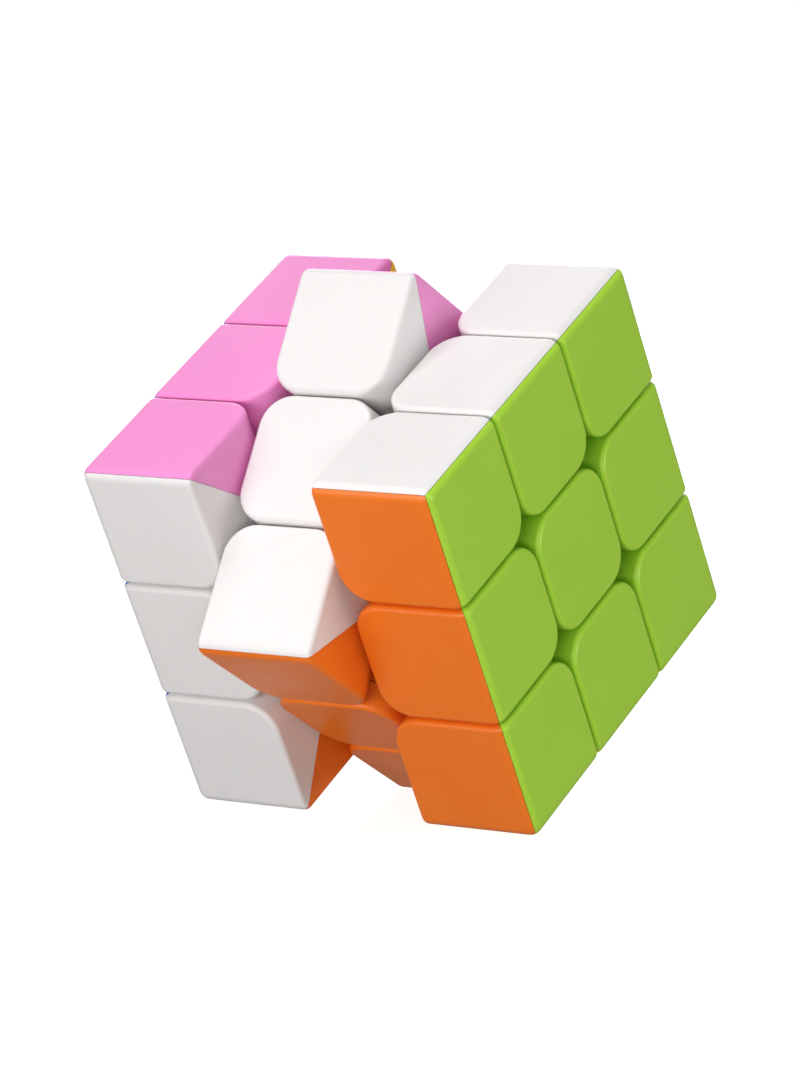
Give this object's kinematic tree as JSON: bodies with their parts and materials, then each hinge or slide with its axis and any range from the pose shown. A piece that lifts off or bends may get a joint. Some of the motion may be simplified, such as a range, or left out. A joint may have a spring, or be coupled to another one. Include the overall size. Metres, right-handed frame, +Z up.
{
  "type": "twisty puzzle cube",
  "caption": "Stickerless twisty puzzle cube stood part way through a turn: its outer layers turn on a sprung core, each held by feet that run in a round track.",
  "frame": {"origin": "on the table, below the centre of the cube's box, which is also below its core", "axes": "+X along the axis that the layers turn about, towards the green face; +Z up; -Y towards the orange face, which faces the viewer"},
  "size_m": [0.057, 0.076, 0.0761],
  "materials": {
    "white": "satin",
    "yellow": "satin",
    "orange": "satin",
    "pink": "satin",
    "blue": "satin",
    "green": "satin",
    "core_grey": "satin",
    "steel": "satin"
  },
  "bodies": {
    "core_and_middle_slice": {"back_tension_spring": "steel", "core": "core_grey", "down_tension_spring": "steel", "edge_down_back_pink_half": "pink", "edge_down_back_yellow_half": "yellow", "edge_down_front_orange_half": "orange", "edge_down_front_yellow_half": "yellow", "edge_up_back_pink_half": "pink", "edge_up_back_white_half": "white", "edge_up_front_orange_half": "orange", "edge_up_front_white_half": "white", "front_tension_spring": "steel", "left_tension_spring": "steel", "right_tension_spring": "steel", "up_tension_spring": "steel"},
    "right_layer": {"corner_down_right_back": "yellow", "corner_down_right_front": "yellow", "corner_up_right_back": "white", "corner_up_right_front": "white", "edge_back_right_green_half": "green", "edge_back_right_pink_half": "pink", "edge_down_right_green_half": "green", "edge_down_right_yellow_half": "yellow", "edge_front_right_green_half": "green", "edge_front_right_orange_half": "orange", "edge_up_right_green_half": "green", "edge_up_right_white_half": "white"},
    "left_layer": {"corner_down_left_back": "yellow", "corner_down_left_front": "yellow", "corner_up_left_back": "white", "corner_up_left_front": "white", "edge_back_left_blue_half": "blue", "edge_back_left_pink_half": "pink", "edge_down_left_blue_half": "blue", "edge_down_left_yellow_half": "yellow", "edge_front_left_blue_half": "blue", "edge_front_left_orange_half": "orange", "edge_up_left_blue_half": "blue", "edge_up_left_white_half": "white"},
    "up_centre": {"up_centre_base": "white"},
    "up_cap": {"up_centre_cap": "white"},
    "up_screw": {"up_tension_screw": "steel"},
    "down_centre": {"down_centre_base": "yellow"},
    "down_cap": {"down_centre_cap": "yellow"},
    "down_screw": {"down_tension_screw": "steel"},
    "front_centre": {"front_centre_base": "orange"},
    "front_cap": {"front_centre_cap": "orange"},
    "front_screw": {"front_tension_screw": "steel"},
    "back_centre": {"back_centre_base": "pink"},
    "back_cap": {"back_centre_cap": "pink"},
    "back_screw": {"back_tension_screw": "steel"},
    "left_centre": {"left_centre_base": "blue"},
    "left_cap": {"left_centre_cap": "blue"},
    "left_screw": {"left_tension_screw": "steel"},
    "right_centre": {"right_centre_base": "green"},
    "right_cap": {"right_centre_cap": "green"},
    "right_screw": {"right_tension_screw": "steel"}
  },
  "joints": [
    {"name": "right_turn", "type": "hinge", "parent": "core_and_middle_slice", "child": "right_layer", "pos_m": [0, 0, 0.03803], "axis": [1, 0, 0], "continuous": true},
    {"name": "left_turn", "type": "hinge", "parent": "core_and_middle_slice", "child": "left_layer", "pos_m": [0, 0, 0.03803], "axis": [1, 0, 0], "continuous": true},
    {"name": "up_lift", "type": "slide", "parent": "core_and_middle_slice", "child": "up_centre", "axis": [0, -0.8809, 0.4733], "range_m": [0, 0.0008], "stiffness_N_per_m": 800, "springref_m": -0.003, "deforming": ["up_tension_spring"]},
    {"name": "down_lift", "type": "slide", "parent": "core_and_middle_slice", "child": "down_centre", "axis": [0, 0.8809, -0.4733], "range_m": [0, 0.0008], "stiffness_N_per_m": 800, "springref_m": -0.003, "deforming": ["down_tension_spring"]},
    {"name": "front_lift", "type": "slide", "parent": "core_and_middle_slice", "child": "front_centre", "axis": [0, -0.4733, -0.8809], "range_m": [0, 0.0008], "stiffness_N_per_m": 800, "springref_m": -0.003, "deforming": ["front_tension_spring"]},
    {"name": "back_lift", "type": "slide", "parent": "core_and_middle_slice", "child": "back_centre", "axis": [0, 0.4733, 0.8809], "range_m": [0, 0.0008], "stiffness_N_per_m": 800, "springref_m": -0.003, "deforming": ["back_tension_spring"]},
    {"name": "left_lift", "type": "slide", "parent": "left_layer", "child": "left_centre", "axis": [-1, 0, 0], "range_m": [0, 0.0008], "stiffness_N_per_m": 800, "springref_m": -0.003, "deforming": ["left_tension_spring"]},
    {"name": "right_lift", "type": "slide", "parent": "right_layer", "child": "right_centre", "axis": [1, 0, 0], "range_m": [0, 0.0008], "stiffness_N_per_m": 800, "springref_m": -0.003, "deforming": ["right_tension_spring"]},
    {"name": "up_cap_off", "type": "slide", "parent": "up_centre", "child": "up_cap", "axis": [0, -0.8809, 0.4733], "range_m": [0, 0.012]},
    {"name": "down_cap_off", "type": "slide", "parent": "down_centre", "child": "down_cap", "axis": [0, 0.8809, -0.4733], "range_m": [0, 0.012]},
    {"name": "front_cap_off", "type": "slide", "parent": "front_centre", "child": "front_cap", "axis": [0, -0.4733, -0.8809], "range_m": [0, 0.012]},
    {"name": "back_cap_off", "type": "slide", "parent": "back_centre", "child": "back_cap", "axis": [0, 0.4733, 0.8809], "range_m": [0, 0.012]},
    {"name": "left_cap_off", "type": "slide", "parent": "left_centre", "child": "left_cap", "axis": [-1, 0, 0], "range_m": [0, 0.012]},
    {"name": "right_cap_off", "type": "slide", "parent": "right_centre", "child": "right_cap", "axis": [1, 0, 0], "range_m": [0, 0.012]},
    {"name": "up_screw_turn", "type": "hinge", "parent": "core_and_middle_slice", "child": "up_screw", "pos_m": [0, 0, 0.03803], "axis": [0, -0.8809, 0.4733], "continuous": true},
    {"name": "down_screw_turn", "type": "hinge", "parent": "core_and_middle_slice", "child": "down_screw", "pos_m": [0, 0, 0.03803], "axis": [0, 0.8809, -0.4733], "continuous": true},
    {"name": "front_screw_turn", "type": "hinge", "parent": "core_and_middle_slice", "child": "front_screw", "pos_m": [0, 0, 0.03803], "axis": [0, -0.4733, -0.8809], "continuous": true},
    {"name": "back_screw_turn", "type": "hinge", "parent": "core_and_middle_slice", "child": "back_screw", "pos_m": [0, 0, 0.03803], "axis": [0, 0.4733, 0.8809], "continuous": true},
    {"name": "left_screw_turn", "type": "hinge", "parent": "core_and_middle_slice", "child": "left_screw", "pos_m": [0, 0, 0.03803], "axis": [-1, 0, 0], "continuous": true},
    {"name": "right_screw_turn", "type": "hinge", "parent": "core_and_middle_slice", "child": "right_screw", "pos_m": [0, 0, 0.03803], "axis": [1, 0, 0], "continuous": true}
  ]
}
